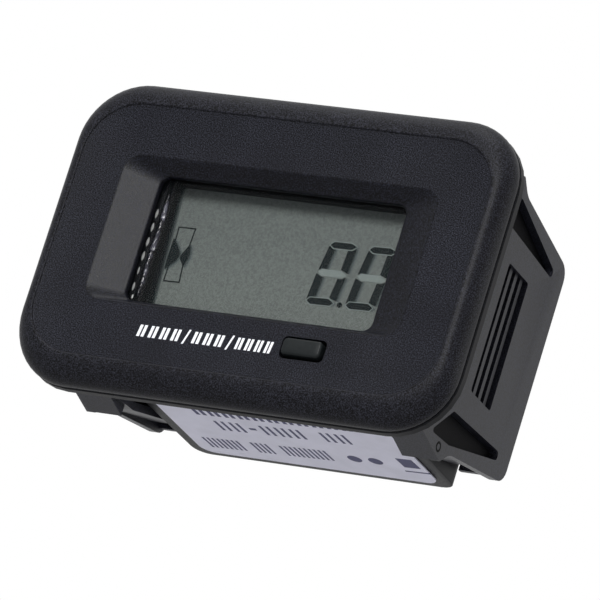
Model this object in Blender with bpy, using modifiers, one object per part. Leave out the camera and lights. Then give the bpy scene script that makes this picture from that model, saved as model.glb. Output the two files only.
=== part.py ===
# Panel-mounted hour meter: domed front bezel, housing with ratchet rails, two slide-on clips,
# liquid crystal display, circuit board, coin cell and a mode button.
# Metres, +Z up, the front faces -Y. The origin is the centre of the face that rests on the panel.
import math

import bpy
import bmesh
from mathutils import Matrix, Vector

for old in list(bpy.data.objects):
    bpy.data.objects.remove(old, do_unlink=True)

# Running gap between touching pieces, and the finer one inside the display stack.
GAP = 0.0003
FINE_GAP = 0.00015

# Front bezel.
BEZEL_WIDTH = 0.052
BEZEL_HEIGHT = 0.035
BEZEL_CORNER = 0.007
BEZEL_DEPTH = 0.0041
BEZEL_RIM = 0.0003
DOME_INSET_SIDE = 0.0016
DOME_INSET_TOP = 0.0028
DOME_CORNER = 0.006
DOME_STEPS = 6
FACE_STEP = 0.0002
FACE_STEP_INSET = 0.00018

# Flange of the housing, behind the parting groove.
FLANGE_THICKNESS = 0.0011

# Sloped recess round the display window, and the window itself.
RECESS_SLOPE = 0.0039
RECESS_TOP = 0.0086
RECESS_BOTTOM = 0.00795
RECESS_CORNER = 0.0019
WINDOW_MARGIN = 0.0014
WINDOW_HEIGHT = 0.0144
WINDOW_CORNER = 0.0011
WINDOW_EDGE_DEPTH = 0.0017
WINDOW_LIP = 0.0005

# Lens, clamped between bezel and housing.
LENS_OVERLAP_SIDE = 0.0004
LENS_OVERLAP_TOP = 0.0007
LENS_THICKNESS = 0.001

# Housing box.
BODY_WIDTH = 0.0322
BODY_HEIGHT = 0.0273
BODY_LENGTH = 0.0244
BODY_TAPER = 0.0002
BODY_REAR_CORNER = 0.0019
BODY_EDGE = 0.0005
BODY_WALL = 0.0014

# T-section ratchet rail on each side of the housing.
RAIL_HEIGHT = 0.0188
RAIL_STEM_HEIGHT = 0.0160
RAIL_REACH = 0.0027
RAIL_HEAD = 0.0013
RAIL_START = 0.0026
RAIL_END = 0.0215
TOOTH_PITCH = 0.00142
TOOTH_GROOVE = 0.00076
TOOTH_DEPTH = 0.0010
FIRST_GROOVE = 0.00342

# Slide-on clip, one each side.
CLIP_REACH = 0.0051
CLIP_WALL = 0.0010
CLIP_LENGTH = 0.0234
CLIP_FOOT_HALF = 0.0164
CLIP_FOOT_SPREAD = 0.0018
CLIP_FOOT_LENGTH = 0.0081
CLIP_FOOT_THICKNESS = 0.0012
CLIP_FOOT_WIDTH = 0.0043
CLIP_KNEE_DROP = 0.0015
CLIP_KNEE_RADIUS = 0.0030
CLIP_REAR_MARGIN = 0.0019
CLIP_CORNER = 0.0018
CLIP_REAR_WALL = 0.0015
CLIP_REAR_CORNER = 0.0011
CLIP_WEB = 0.0009
LIP_HOOK = 0.0011
LIP_THICKNESS = 0.0008
SLOT_FRONT = 0.0106
SLOT_LENGTH = 0.0054
SLOT_HALF = 0.0074
BAR_COUNT = 3
BAR_SINK = 0.0004
GUSSET_FRONT = 0.0046
GUSSET_REAR = 0.0207
GUSSET_RIM = 0.00045
GUSSET_REAR_RIM = 0.0014
PAWL_LENGTH = 0.0012

# Display stack.
FRAME_BORDER = 0.0004
FRAME_THICKNESS = 0.0010
LCD_HEIGHT = 0.0182
LCD_REAR_HEIGHT = 0.0152
LCD_GLASS = 0.0010
REFLECTOR_THICKNESS = 0.0002
HOLDER_HEIGHT = 0.0184
HOLDER_DEPTH = 0.0031
HOLDER_FLOOR = 0.0009
ZEBRA_THICKNESS = 0.0009
ZEBRA_MARGIN = 0.0012

# Circuit board, its posts and screws.
BOARD_THICKNESS = 0.0012
BOARD_CORNER = 0.0006
POST_RADIUS = 0.0017
POST_INSET_SIDE = 0.0025
POST_INSET_TOP = 0.0015
SCREW_RADIUS = 0.0006
SCREW_HEAD_RADIUS = 0.0011
SCREW_HEAD_HEIGHT = 0.0009
SCREW_LENGTH = 0.0052

# Mode button and the switch behind it.
BUTTON_SHARE = 0.294
BUTTON_Z = -0.01065
BUTTON_WIDTH = 0.0046
BUTTON_HEIGHT = 0.0019
BUTTON_PROUD = 0.0006
BUTTON_EDGE = 0.00032
BUTTON_FLANGE_BORDER = 0.00042
BUTTON_FLANGE_DEPTH = 0.0007
BUTTON_TRAVEL = 0.0006
STEM_WIDTH = 0.0020
STEM_HEIGHT = 0.0011
SWITCH_WIDTH = 0.0060
SWITCH_HEIGHT = 0.0023
SWITCH_DEPTH = 0.0032
PLUNGER_WIDTH = 0.0018
PLUNGER_HEIGHT = 0.0010
PLUNGER_PROUD = 0.0008
PLUNGER_INSIDE = 0.0009

# Parts on the rear of the board.
CHIP_LENGTH = 0.0100
CHIP_HEIGHT = 0.0056
CHIP_THICKNESS = 0.0013
CHIP_LEG_COUNT = 8
CHIP_LEG_PITCH = 0.0011
CHIP_LEG_WIDTH = 0.0004
CHIP_LEG_REACH = 0.0010
LEAD_RADIUS = 0.0003
AXIAL_Z = 0.0104
RESISTOR_RADIUS = 0.0009
RESISTOR_LENGTH = 0.0048
RESISTOR_SPAN = 0.0084
DIODE_RADIUS = 0.0010
DIODE_LENGTH = 0.0044
DIODE_SPAN = 0.0080
CAPACITOR_RADIUS = 0.0025
CAPACITOR_LENGTH = 0.0091
CAPACITOR_BEAD = 0.0010
CAPACITOR_GROOVE = 0.0002
CAPACITOR_Z = 0.0048
CRYSTAL_RADIUS = 0.00095
CRYSTAL_LENGTH = 0.0040
REGULATOR_RADIUS = 0.0022
REGULATOR_LENGTH = 0.0044
REGULATOR_LIFT = 0.0020
REGULATOR_PITCH = 0.00127
REGULATOR_LEG = 0.00044
REGULATOR_Z = -0.0054
EDGE_MARGIN = 0.0006

# Coin cell and its contacts.
CELL_SHARE = 0.588
CELL_MARGIN = 0.0031
CELL_HEIGHT = 0.0032
CELL_EDGE = 0.0003
CELL_LIFT = 0.0053
CONTACT_THICKNESS = 0.0003
CONTACT_WIDTH = 0.0040

# Wire bushing in the rear wall.
BUSHING_NECK = 0.0029
BUSHING_FLANGE = 0.0042
BUSHING_FLANGE_DEPTH = 0.0013
BUSHING_NOSE = 0.0034
BUSHING_NOSE_DEPTH = 0.0022
WIRE_BORE = 0.00075
WIRE_RING = 0.0014
WIRE_COUNT = 3

# Sticker on the underside.
LABEL_MARGIN = 0.0017
LABEL_THICKNESS = 0.00012
LABEL_CORNER = 0.0016
LABEL_REAR_MARGIN = 0.0013
LABEL_GAP = 0.00005

# Places worked out from the sizes above. Depth runs along +Y from the front to the rear.
BEZEL_FRONT = -BEZEL_DEPTH
FACE_FRONT = BEZEL_FRONT + FACE_STEP
FLANGE_FRONT = -FLANGE_THICKNESS
BEZEL_REAR = FLANGE_FRONT - GAP
WINDOW_EDGE = BEZEL_FRONT + WINDOW_EDGE_DEPTH
WINDOW_WIDTH = BODY_WIDTH - 2 * WINDOW_MARGIN
RECESS_WIDTH = WINDOW_WIDTH + 2 * RECESS_SLOPE
BUTTON_X = BUTTON_SHARE * WINDOW_WIDTH
LENS_FRONT = WINDOW_EDGE + WINDOW_LIP + FINE_GAP
LENS_REAR = LENS_FRONT + LENS_THICKNESS
LENS_WIDTH = WINDOW_WIDTH + 2 * LENS_OVERLAP_SIDE
LENS_HEIGHT = WINDOW_HEIGHT + 2 * LENS_OVERLAP_TOP
CAVITY_WIDTH = BODY_WIDTH - 2 * BODY_WALL
CAVITY_HEIGHT = BODY_HEIGHT - 2 * BODY_WALL
CAVITY_REAR = BODY_LENGTH - BODY_WALL
STACK_WIDTH = CAVITY_WIDTH - 2 * GAP - 2 * BODY_TAPER
FRAME_FRONT = LENS_REAR + GAP
LCD_FRONT = FRAME_FRONT + FRAME_THICKNESS + FINE_GAP
LCD_REAR = LCD_FRONT + 2 * LCD_GLASS
REFLECTOR_FRONT = LCD_REAR + FINE_GAP
HOLDER_FRONT = REFLECTOR_FRONT + REFLECTOR_THICKNESS + FINE_GAP
BOARD_FRONT = HOLDER_FRONT + HOLDER_DEPTH + FINE_GAP
BOARD_REAR = BOARD_FRONT + BOARD_THICKNESS
BOARD_HEIGHT = CAVITY_HEIGHT - 2 * GAP
POST_FRONT = BOARD_REAR + FINE_GAP
POST_X = CAVITY_WIDTH / 2 - POST_INSET_SIDE
POST_Z = CAVITY_HEIGHT / 2 - POST_INSET_TOP
PART_BASE = BOARD_REAR + FINE_GAP
BODY_SIDE = BODY_WIDTH / 2
RAIL_TOP = BODY_SIDE + RAIL_REACH
CELL_RADIUS = CELL_SHARE * STACK_WIDTH / 2
CELL_X = CELL_RADIUS + CELL_MARGIN - STACK_WIDTH / 2
ZEBRA_WIDTH = STACK_WIDTH - 2 * ZEBRA_MARGIN
LABEL_WIDTH = BODY_WIDTH - 2 * LABEL_MARGIN
CLIP_FACE = BODY_SIDE + CLIP_REACH
CLIP_INNER = CLIP_FACE - CLIP_WALL
CLIP_FRONT_HALF = CLIP_FOOT_HALF - CLIP_FOOT_SPREAD
CLIP_KNEE_HALF = CLIP_FOOT_HALF - CLIP_KNEE_DROP
CLIP_GUIDE_HALF = RAIL_HEIGHT / 2 + GAP
CLIP_REAR_HALF = CLIP_GUIDE_HALF + CLIP_WEB + CLIP_REAR_MARGIN
GUSSET_FRONT_HIGH = CLIP_KNEE_HALF - GUSSET_RIM
GUSSET_REAR_HIGH = CLIP_REAR_HALF - GUSSET_REAR_RIM
CLIP_REAR = GAP + CLIP_LENGTH
SLOT_REAR = SLOT_FRONT + SLOT_LENGTH

collection = bpy.data.collections.new("hour_meter")
bpy.context.scene.collection.children.link(collection)
cutters = bpy.data.collections.new("hour_meter_cutters")
bpy.context.scene.collection.children.link(cutters)


def material(name, colour, roughness, metallic=0.0):
    """Principled material; colour is linear red, green and blue."""
    made = bpy.data.materials.new(name)
    made.use_nodes = True
    shader = made.node_tree.nodes["Principled BSDF"]
    shader.inputs["Base Color"].default_value = (*colour, 1.0)
    shader.inputs["Roughness"].default_value = roughness
    shader.inputs["Metallic"].default_value = metallic
    return made


def add_object(name, mesh):
    """Puts a mesh in the part's collection as a named object."""
    made = bpy.data.objects.new(name, mesh)
    collection.objects.link(made)
    return made


def finish(obj, made_of):
    """Gives a sub-part its material and smooth round faces."""
    obj.data.materials.clear()
    obj.data.materials.append(made_of)
    obj.data.shade_smooth()
    obj.data.set_sharp_from_angle(angle=math.radians(35))
    return obj


def hide_tool(tool):
    """Moves a Boolean operand to the cutters' collection, out of the model."""
    for home in list(tool.users_collection):
        home.objects.unlink(tool)
    cutters.objects.link(tool)
    tool.hide_render = True
    tool.display_type = "WIRE"


def combine(target, tool, operation):
    """Adds an exact Boolean of the tool to the target."""
    step = target.modifiers.new(f"{operation.lower()}_{tool.name}", "BOOLEAN")
    step.operation = operation
    step.solver = "EXACT"
    step.object = tool
    hide_tool(tool)


def cut(target, tool):
    combine(target, tool, "DIFFERENCE")


def join(target, tool):
    combine(target, tool, "UNION")


def bevel(obj, width, segments=2, angle=40):
    """Rounds the sharp edges of an object."""
    step = obj.modifiers.new("rounded_edges", "BEVEL")
    step.width = width
    step.segments = segments
    step.limit_method = "ANGLE"
    step.angle_limit = math.radians(angle)
    return obj


def box(name, low, high):
    """Box between two corners."""
    mesh = bpy.data.meshes.new(name)
    shape = bmesh.new()
    bmesh.ops.create_cube(shape, size=1.0)
    size = Vector(high) - Vector(low)
    centre = (Vector(high) + Vector(low)) / 2
    place = Matrix.Translation(centre) @ Matrix.Diagonal((*size, 1.0))
    bmesh.ops.transform(shape, matrix=place, verts=shape.verts)
    shape.to_mesh(mesh)
    shape.free()
    return add_object(name, mesh)


def rod(name, start, radius, length, axis="Y", sides=24, end_radius=None):
    """Cylinder or cone from a start point along +X, +Y or +Z."""
    mesh = bpy.data.meshes.new(name)
    shape = bmesh.new()
    far = radius if end_radius is None else end_radius
    bmesh.ops.create_cone(
        shape, cap_ends=True, segments=sides, radius1=radius, radius2=far, depth=length
    )
    turn = {
        "X": Matrix.Rotation(math.pi / 2, 4, "Y"),
        "Y": Matrix.Rotation(-math.pi / 2, 4, "X"),
        "Z": Matrix.Identity(4),
    }[axis]
    lift = Matrix.Translation((0.0, 0.0, length / 2))
    place = Matrix.Translation(start) @ turn @ lift
    bmesh.ops.transform(shape, matrix=place, verts=shape.verts)
    shape.to_mesh(mesh)
    shape.free()
    return add_object(name, mesh)


def fillet(corners, radii, steps=4):
    """Closed outline with each corner replaced by an arc of its own radius."""
    outline = []
    count = len(corners)
    for index, corner in enumerate(corners):
        here = Vector(corner)
        before = (Vector(corners[index - 1]) - here).normalized()
        after = (Vector(corners[(index + 1) % count]) - here).normalized()
        radius = radii[index]
        if radius <= 0.0:
            outline.append(tuple(here))
            continue
        half = before.angle(after) / 2
        centre = here + (before + after).normalized() * (radius / math.sin(half))
        first = here + before * (radius / math.tan(half)) - centre
        sweep = first.angle_signed(here + after * (radius / math.tan(half)) - centre)
        for step in range(steps + 1):
            arm = first.copy()
            arm.rotate(Matrix.Rotation(-sweep * step / steps, 2))
            outline.append(tuple(centre + arm))
    return outline


def rounded_rectangle(width, height, radius, steps=4, middle=(0.0, 0.0)):
    """Outline of a rectangle with equal round corners."""
    x, z = width / 2, height / 2
    corners = [(x, -z), (x, z), (-x, z), (-x, -z)]
    placed = [(middle[0] + a, middle[1] + b) for a, b in corners]
    return fillet(placed, [radius] * 4, steps)


def outline_solid(name, outline, low, high, along="Y"):
    """Flat outline given thickness along one axis, from low to high.

    The outline's two numbers are X and Z along Y, Y and Z along X, and X and Y along Z.
    """
    curve = bpy.data.curves.new(name, "CURVE")
    curve.dimensions = "2D"
    curve.fill_mode = "BOTH"
    curve.extrude = (high - low) / 2
    line = curve.splines.new("POLY")
    line.points.add(len(outline) - 1)
    for point, (first, second) in zip(line.points, outline):
        point.co = (first, second, 0.0, 1.0)
    line.use_cyclic_u = True
    drawn = bpy.data.objects.new(name, curve)
    collection.objects.link(drawn)
    turn = {
        "X": Matrix(((0, 0, 1, 0), (1, 0, 0, 0), (0, 1, 0, 0), (0, 0, 0, 1))),
        "Y": Matrix(((1, 0, 0, 0), (0, 0, -1, 0), (0, 1, 0, 0), (0, 0, 0, 1))),
        "Z": Matrix.Identity(4),
    }[along]
    middle = (low + high) / 2
    shift = {"X": (middle, 0, 0), "Y": (0, middle, 0), "Z": (0, 0, middle)}[along]
    bpy.context.view_layer.update()
    evaluated = drawn.evaluated_get(bpy.context.evaluated_depsgraph_get())
    mesh = bpy.data.meshes.new_from_object(evaluated)
    bpy.data.objects.remove(drawn, do_unlink=True)
    bpy.data.curves.remove(curve)
    mesh.name = name
    shape = bmesh.new()
    shape.from_mesh(mesh)
    bmesh.ops.remove_doubles(shape, verts=shape.verts, dist=1e-7)
    bmesh.ops.transform(shape, matrix=Matrix.Translation(shift) @ turn, verts=shape.verts)
    bmesh.ops.recalc_face_normals(shape, faces=shape.faces)
    shape.to_mesh(mesh)
    shape.free()
    return add_object(name, mesh)


def loft(name, rings):
    """Solid through outlines of equal point count; each ring is (depth, outline in X and Z)."""
    mesh = bpy.data.meshes.new(name)
    shape = bmesh.new()
    loops = []
    for depth, outline in rings:
        loops.append([shape.verts.new((x, depth, z)) for x, z in outline])
    count = len(loops[0])
    for near, far in zip(loops, loops[1:]):
        for index in range(count):
            after = (index + 1) % count
            shape.faces.new((near[index], near[after], far[after], far[index]))
    shape.faces.new(loops[0])
    shape.faces.new(loops[-1])
    bmesh.ops.recalc_face_normals(shape, faces=shape.faces)
    shape.to_mesh(mesh)
    shape.free()
    return add_object(name, mesh)


def turned(name, profile, middle, sides=32):
    """Solid of revolution about an axis along Y; the profile is (radius, depth) pairs."""
    mesh = bpy.data.meshes.new(name)
    shape = bmesh.new()
    points = [shape.verts.new((radius, depth, 0.0)) for radius, depth in profile]
    for near, far in zip(points, points[1:]):
        shape.edges.new((near, far))
    bmesh.ops.spin(
        shape, geom=shape.verts[:] + shape.edges[:], cent=(0, 0, 0), axis=(0, 1, 0),
        angle=2 * math.pi, steps=sides, use_merge=True,
    )
    bmesh.ops.remove_doubles(shape, verts=shape.verts, dist=1e-7)
    bmesh.ops.transform(shape, matrix=Matrix.Translation(middle), verts=shape.verts)
    bmesh.ops.recalc_face_normals(shape, faces=shape.faces)
    shape.to_mesh(mesh)
    shape.free()
    return add_object(name, mesh)


def bezel_section(inset, depth):
    """One ring of the domed bezel; inset runs from 0 at the rim to 1 at the front face."""
    width = BEZEL_WIDTH - 2 * DOME_INSET_SIDE * inset
    height = BEZEL_HEIGHT - 2 * DOME_INSET_TOP * inset
    radius = BEZEL_CORNER + (DOME_CORNER - BEZEL_CORNER) * inset
    return depth, rounded_rectangle(width, height, radius, steps=7)


def make_bezel(made_of):
    """Domed bezel: elliptical shoulder, sunk textured face, sloped window recess, button slot."""
    shoulder = BEZEL_REAR - BEZEL_RIM
    rings = [bezel_section(0.0, BEZEL_REAR), bezel_section(0.0, shoulder)]
    for step in range(1, DOME_STEPS + 1):
        turn = math.pi / 2 * step / DOME_STEPS
        depth = shoulder + (BEZEL_FRONT - shoulder) * math.sin(turn)
        rings.append(bezel_section(1.0 - math.cos(turn), depth))
    face_width = BEZEL_WIDTH - 2 * (DOME_INSET_SIDE + FACE_STEP_INSET)
    face_height = BEZEL_HEIGHT - 2 * (DOME_INSET_TOP + FACE_STEP_INSET)
    face = rounded_rectangle(face_width, face_height, DOME_CORNER - FACE_STEP_INSET, steps=7)
    rings.append((FACE_FRONT, face))
    bezel = loft("front_bezel", rings)

    slope = (RECESS_WIDTH - WINDOW_WIDTH) / 2 / (WINDOW_EDGE - FACE_FRONT)
    spare = GAP
    wide = RECESS_WIDTH + 2 * slope * spare
    tall = RECESS_TOP + RECESS_BOTTOM
    middle = (0.0, (RECESS_TOP - RECESS_BOTTOM) / 2)
    recess = loft("recess_cutter", [
        (FACE_FRONT - spare, rounded_rectangle(wide, tall, RECESS_CORNER, 5, middle)),
        (WINDOW_EDGE, rounded_rectangle(WINDOW_WIDTH, WINDOW_HEIGHT, WINDOW_CORNER, 5)),
        (BEZEL_REAR + GAP, rounded_rectangle(WINDOW_WIDTH, WINDOW_HEIGHT, WINDOW_CORNER, 5)),
    ])
    cut(bezel, recess)

    seat = rounded_rectangle(LENS_WIDTH + 2 * GAP, LENS_HEIGHT + 2 * GAP, WINDOW_CORNER, 4)
    cut(bezel, outline_solid("lens_seat_cutter", seat, LENS_FRONT - FINE_GAP, BEZEL_REAR + GAP))

    middle = (BUTTON_X, BUTTON_Z)
    slot = rounded_rectangle(
        BUTTON_WIDTH + 2 * GAP, BUTTON_HEIGHT + 2 * GAP, BUTTON_EDGE + GAP, 3, middle
    )
    cut(bezel, outline_solid("button_slot_cutter", slot, BEZEL_FRONT - GAP, BEZEL_REAR + GAP))
    border = 2 * (BUTTON_FLANGE_BORDER + GAP)
    pocket = rounded_rectangle(
        BUTTON_WIDTH + border, BUTTON_HEIGHT + border, BUTTON_EDGE, 2, middle
    )
    pocket_front = BEZEL_REAR - BUTTON_FLANGE_DEPTH - GAP
    cut(bezel, outline_solid("button_pocket_cutter", pocket, pocket_front, BEZEL_REAR + GAP))
    return finish(bezel, made_of)


def body_plan(width, length, corner, front, taper):
    """Outline in X and Y of the housing box or its cavity, with round rear corners."""
    near = width / 2
    far = near - taper
    corners = [(near, front), (far, length), (-far, length), (-near, front)]
    return fillet(corners, [0.0, corner, corner, 0.0], 5)


def make_rail(side):
    """T-section rail; side is 1 on the right and -1 on the left. Grooves leave ratchet teeth."""
    bury = BODY_WALL / 2
    stem_half = RAIL_STEM_HEIGHT / 2
    head_half = RAIL_HEIGHT / 2
    root = BODY_SIDE - bury
    neck = RAIL_TOP - RAIL_HEAD
    section = [
        (side * root, -stem_half), (side * neck, -stem_half), (side * neck, -head_half),
        (side * RAIL_TOP, -head_half), (side * RAIL_TOP, head_half), (side * neck, head_half),
        (side * neck, stem_half), (side * root, stem_half),
    ]
    name = "right_rail" if side > 0 else "left_rail"
    rail = outline_solid(name, section, RAIL_START, RAIL_END)
    return rail


def rail_grooves(side):
    """Comb of cutters for the ratchet grooves, joined into one operand."""
    comb = bmesh.new()
    count = int((RAIL_END - TOOTH_GROOVE - FIRST_GROOVE) / TOOTH_PITCH) + 1
    for index in range(count):
        start = FIRST_GROOVE + index * TOOTH_PITCH
        size = Vector((2 * TOOTH_DEPTH, TOOTH_GROOVE, RAIL_HEIGHT + 2 * GAP))
        centre = Vector((side * RAIL_TOP, start + TOOTH_GROOVE / 2, 0.0))
        made = bmesh.ops.create_cube(comb, size=1.0)
        place = Matrix.Translation(centre) @ Matrix.Diagonal((*size, 1.0))
        bmesh.ops.transform(comb, matrix=place, verts=made["verts"])
    name = "right_groove_cutter" if side > 0 else "left_groove_cutter"
    mesh = bpy.data.meshes.new(name)
    comb.to_mesh(mesh)
    comb.free()
    return add_object(name, mesh)


def post_places():
    """Centres of the four board posts; the last one carries no screw."""
    return [(-POST_X, POST_Z), (POST_X, POST_Z), (-POST_X, -POST_Z), (POST_X, -POST_Z)]


def make_housing(made_of):
    """Flange and open-fronted box in one moulding, with rails outside and board posts inside."""
    flange = rounded_rectangle(BEZEL_WIDTH, BEZEL_HEIGHT, BEZEL_CORNER, 7)
    housing = outline_solid("housing", flange, FLANGE_FRONT, 0.0)
    bevel(housing, FLANGE_THICKNESS / 8, 1)

    half = BODY_HEIGHT / 2
    plan = body_plan(BODY_WIDTH, BODY_LENGTH, BODY_REAR_CORNER, FLANGE_FRONT / 2, BODY_TAPER)
    shell = outline_solid("housing_box", plan, -half, half, "Z")
    bevel(shell, BODY_EDGE, 2)
    join(housing, shell)
    for side in (1, -1):
        join(housing, make_rail(side))
        cut(housing, rail_grooves(side))

    half = CAVITY_HEIGHT / 2
    corner = BODY_REAR_CORNER - BODY_WALL
    front = FLANGE_FRONT - GAP
    plan = body_plan(CAVITY_WIDTH, CAVITY_REAR, corner, front, BODY_TAPER)
    cut(housing, outline_solid("cavity_cutter", plan, -half, half, "Z"))
    seat = rounded_rectangle(LENS_WIDTH + 2 * GAP, LENS_HEIGHT + 2 * GAP, WINDOW_CORNER, 4)
    cut(housing, outline_solid("lens_rest_cutter", seat, FLANGE_FRONT - GAP, LENS_REAR + GAP / 2))

    bury = BODY_WALL / 2
    for index, (x, z) in enumerate(post_places()):
        length = CAVITY_REAR + bury - POST_FRONT
        join(housing, rod(f"post_{index}", (x, POST_FRONT, z), POST_RADIUS, length, sides=16))
    for index, (x, z) in enumerate(post_places()[:3]):
        start = (x, POST_FRONT - GAP, z)
        depth = SCREW_LENGTH + 2 * GAP
        radius = SCREW_RADIUS + FINE_GAP
        cut(housing, rod(f"pilot_{index}", start, radius, depth, sides=12))
    start = (0.0, CAVITY_REAR - GAP, 0.0)
    cut(housing, rod("wire_hole", start, BUSHING_NECK + GAP, BODY_WALL + 2 * GAP, sides=32))
    return finish(housing, made_of)


def clip_wall_outline():
    """Side wall in Y and Z: feet that spread to the rear, a knee, then a taper to round corners."""
    foot = GAP + CLIP_FOOT_LENGTH
    knee = foot + (CLIP_FOOT_HALF - CLIP_KNEE_HALF) * 1.2
    upper = [
        (GAP, CLIP_FRONT_HALF), (foot, CLIP_FOOT_HALF),
        (knee, CLIP_KNEE_HALF), (CLIP_REAR, CLIP_REAR_HALF),
    ]
    radii = [0.0, GAP, CLIP_KNEE_RADIUS, CLIP_CORNER]
    corners = upper + [(y, -z) for y, z in reversed(upper)]
    return fillet(corners, radii + radii[::-1], 5)


def gusset_corners():
    """Tapered window between the guide web and the outer web, in Y and Z."""
    low = CLIP_GUIDE_HALF + CLIP_WEB + GAP / 3
    return [
        (GUSSET_FRONT + (GUSSET_FRONT_HIGH - low), low),
        (GUSSET_REAR, low - 2 * GAP),
        (GUSSET_REAR, GUSSET_REAR_HIGH),
        (SLOT_FRONT - CLIP_FOOT_THICKNESS, GUSSET_FRONT_HIGH - GAP),
        (GUSSET_FRONT, GUSSET_FRONT_HIGH),
    ]


def mirrored(side, near, far):
    """Two distances from the middle plane as a sorted pair on one side of it (1 or -1)."""
    return tuple(sorted((side * near, side * far)))


def add_clip_flank(clip, name, side, level):
    """Guide web with its lip, outer web and foot at the top (level 1) or bottom (level -1)."""
    inner = BODY_SIDE + GAP
    outer = CLIP_FACE - CLIP_WALL / 3
    low, high = mirrored(side, inner, outer)
    front = RAIL_START - GAP
    rear = CLIP_REAR - CLIP_REAR_WALL / 2
    near, far = mirrored(level, CLIP_GUIDE_HALF, CLIP_GUIDE_HALF + CLIP_WEB)
    join(clip, box(f"{name}_guide", (low, front, near), (high, rear, far)))

    hook_low, hook_high = mirrored(side, inner, inner + LIP_THICKNESS)
    near, far = mirrored(level, CLIP_GUIDE_HALF - LIP_HOOK, CLIP_GUIDE_HALF + CLIP_WEB / 2)
    join(clip, box(f"{name}_lip", (hook_low, front, near), (hook_high, rear, far)))

    ledge = GAP / 3
    edge = [(y, z + ledge) for y, z in gusset_corners()[2:]]
    strip = edge + [(y, z + CLIP_WEB) for y, z in reversed(edge)]
    strip = [(y, level * z) for y, z in strip]
    join(clip, outline_solid(f"{name}_web", strip, low, high, "X"))

    low, high = mirrored(side, CLIP_FACE - CLIP_FOOT_WIDTH, outer)
    foot = GAP + CLIP_FOOT_LENGTH - GAP / 2
    skin = GAP / 10
    edge = [(GAP, CLIP_FRONT_HALF - skin), (foot, CLIP_FOOT_HALF - skin)]
    strip = edge + [(y, z - CLIP_FOOT_THICKNESS) for y, z in reversed(edge)]
    strip = [(y, level * z) for y, z in strip]
    join(clip, outline_solid(f"{name}_foot", strip, low, high, "X"))


def cut_clip_windows(clip, name, side):
    """Middle slot over the ratchet and a tapered window above and below it."""
    low, high = mirrored(side, CLIP_INNER - GAP, CLIP_FACE + GAP)
    slot = fillet([
        (SLOT_FRONT, -SLOT_HALF), (SLOT_REAR, -SLOT_HALF),
        (SLOT_REAR, SLOT_HALF), (SLOT_FRONT, SLOT_HALF),
    ], [GAP] * 4, 2)
    cut(clip, outline_solid(f"{name}_slot_cutter", slot, low, high, "X"))
    end = (GUSSET_REAR_HIGH - CLIP_GUIDE_HALF - CLIP_WEB + 2 * GAP) * 0.45
    for level in (1, -1):
        shape = fillet(gusset_corners(), [2 * GAP, end, end, 4 * GAP, GAP], 3)
        shape = [(y, level * z) for y, z in shape]
        tag = "upper" if level > 0 else "lower"
        cut(clip, outline_solid(f"{name}_{tag}_window_cutter", shape, low, high, "X"))


def add_slot_bars(clip, name, side):
    """Sunk bars across the slot at the pitch of the ratchet, counted from its rear edge."""
    low, high = mirrored(side, CLIP_INNER + GAP / 6, CLIP_FACE - BAR_SINK)
    half = SLOT_HALF + GAP
    for index in range(BAR_COUNT):
        rear = SLOT_REAR - 2 * GAP - index * TOOTH_PITCH
        front = rear - TOOTH_PITCH + TOOTH_GROOVE
        join(clip, box(f"{name}_bar_{index}", (low, front, -half), (high, rear, half)))


def make_clip(name, side, made_of):
    """Moulded clip that slides on the rail: windowed wall, guide webs, lips, feet, bars, pawl."""
    low, high = mirrored(side, CLIP_INNER, CLIP_FACE)
    clip = outline_solid(name, clip_wall_outline(), low, high, "X")
    add_clip_flank(clip, f"{name}_upper", side, 1)
    add_clip_flank(clip, f"{name}_lower", side, -1)

    half = CLIP_REAR_HALF - GAP
    low, high = mirrored(side, BODY_SIDE + GAP, CLIP_FACE - CLIP_WALL / 3)
    front = CLIP_REAR - CLIP_REAR_WALL
    rear = CLIP_REAR - GAP / 10
    wall = fillet(
        [(front, -half), (rear, -half), (rear, half), (front, half)],
        [0.0, CLIP_REAR_CORNER, CLIP_REAR_CORNER, 0.0], 4,
    )
    join(clip, outline_solid(f"{name}_rear", wall, low, high, "X"))
    cut_clip_windows(clip, name, side)
    add_slot_bars(clip, name, side)

    tip = RAIL_TOP + GAP
    root = CLIP_INNER + CLIP_WALL / 3
    near = SLOT_REAR + GAP
    half = SLOT_HALF - GAP
    wedge = [(side * root, near), (side * tip, near), (side * root, near + PAWL_LENGTH)]
    join(clip, outline_solid(f"{name}_pawl", wedge, -half, half, "Z"))
    return finish(clip, made_of)


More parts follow.
